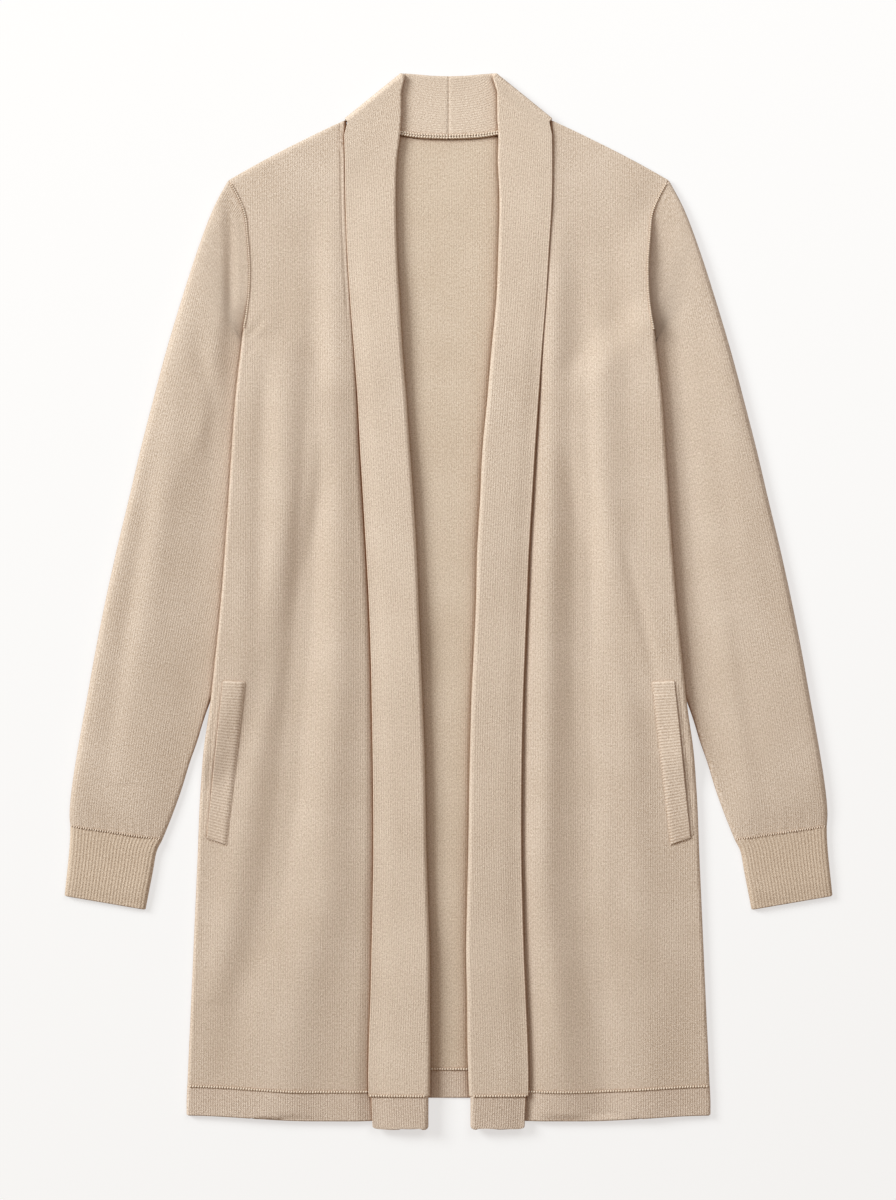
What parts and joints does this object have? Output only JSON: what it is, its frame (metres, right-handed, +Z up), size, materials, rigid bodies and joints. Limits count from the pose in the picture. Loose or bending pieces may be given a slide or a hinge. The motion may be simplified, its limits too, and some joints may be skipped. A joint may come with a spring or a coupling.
{
  "type": "duster cardigan",
  "caption": "Open-front long knit cardigan laid flat, with a doubled front band and half collar, set-in long sleeves, ribbed cuffs, welt pockets and linked hem bands.",
  "frame": {"origin": "on the table, under the middle of the laid-out garment", "axes": "+Y towards the collar, +X towards the sleeve on the right as seen from above, +Z up off the table"},
  "size_m": [0.6906, 0.9478, 0.0143],
  "materials": {
    "jersey_knit": "brushed fine jersey",
    "inside_knit": "inner side of fine jersey",
    "band_knit": "doubled fine jersey",
    "rib_knit": "fine rib",
    "hem_knit": "tubular hem knit"
  },
  "bodies": {
    "root": {"back": "inside_knit", "back_hem": "hem_knit", "front_left": "jersey_knit", "front_left_hem": "hem_knit", "front_right": "jersey_knit", "front_right_hem": "hem_knit", "pocket_welt_left": "rib_knit", "pocket_welt_right": "rib_knit", "sleeve_left": "jersey_knit", "sleeve_right": "jersey_knit", "cuff_left": "rib_knit", "cuff_right": "rib_knit", "band_left": "band_knit", "band_left_hem": "band_knit", "band_right": "band_knit", "band_right_hem": "band_knit"}
  },
  "joints": []
}
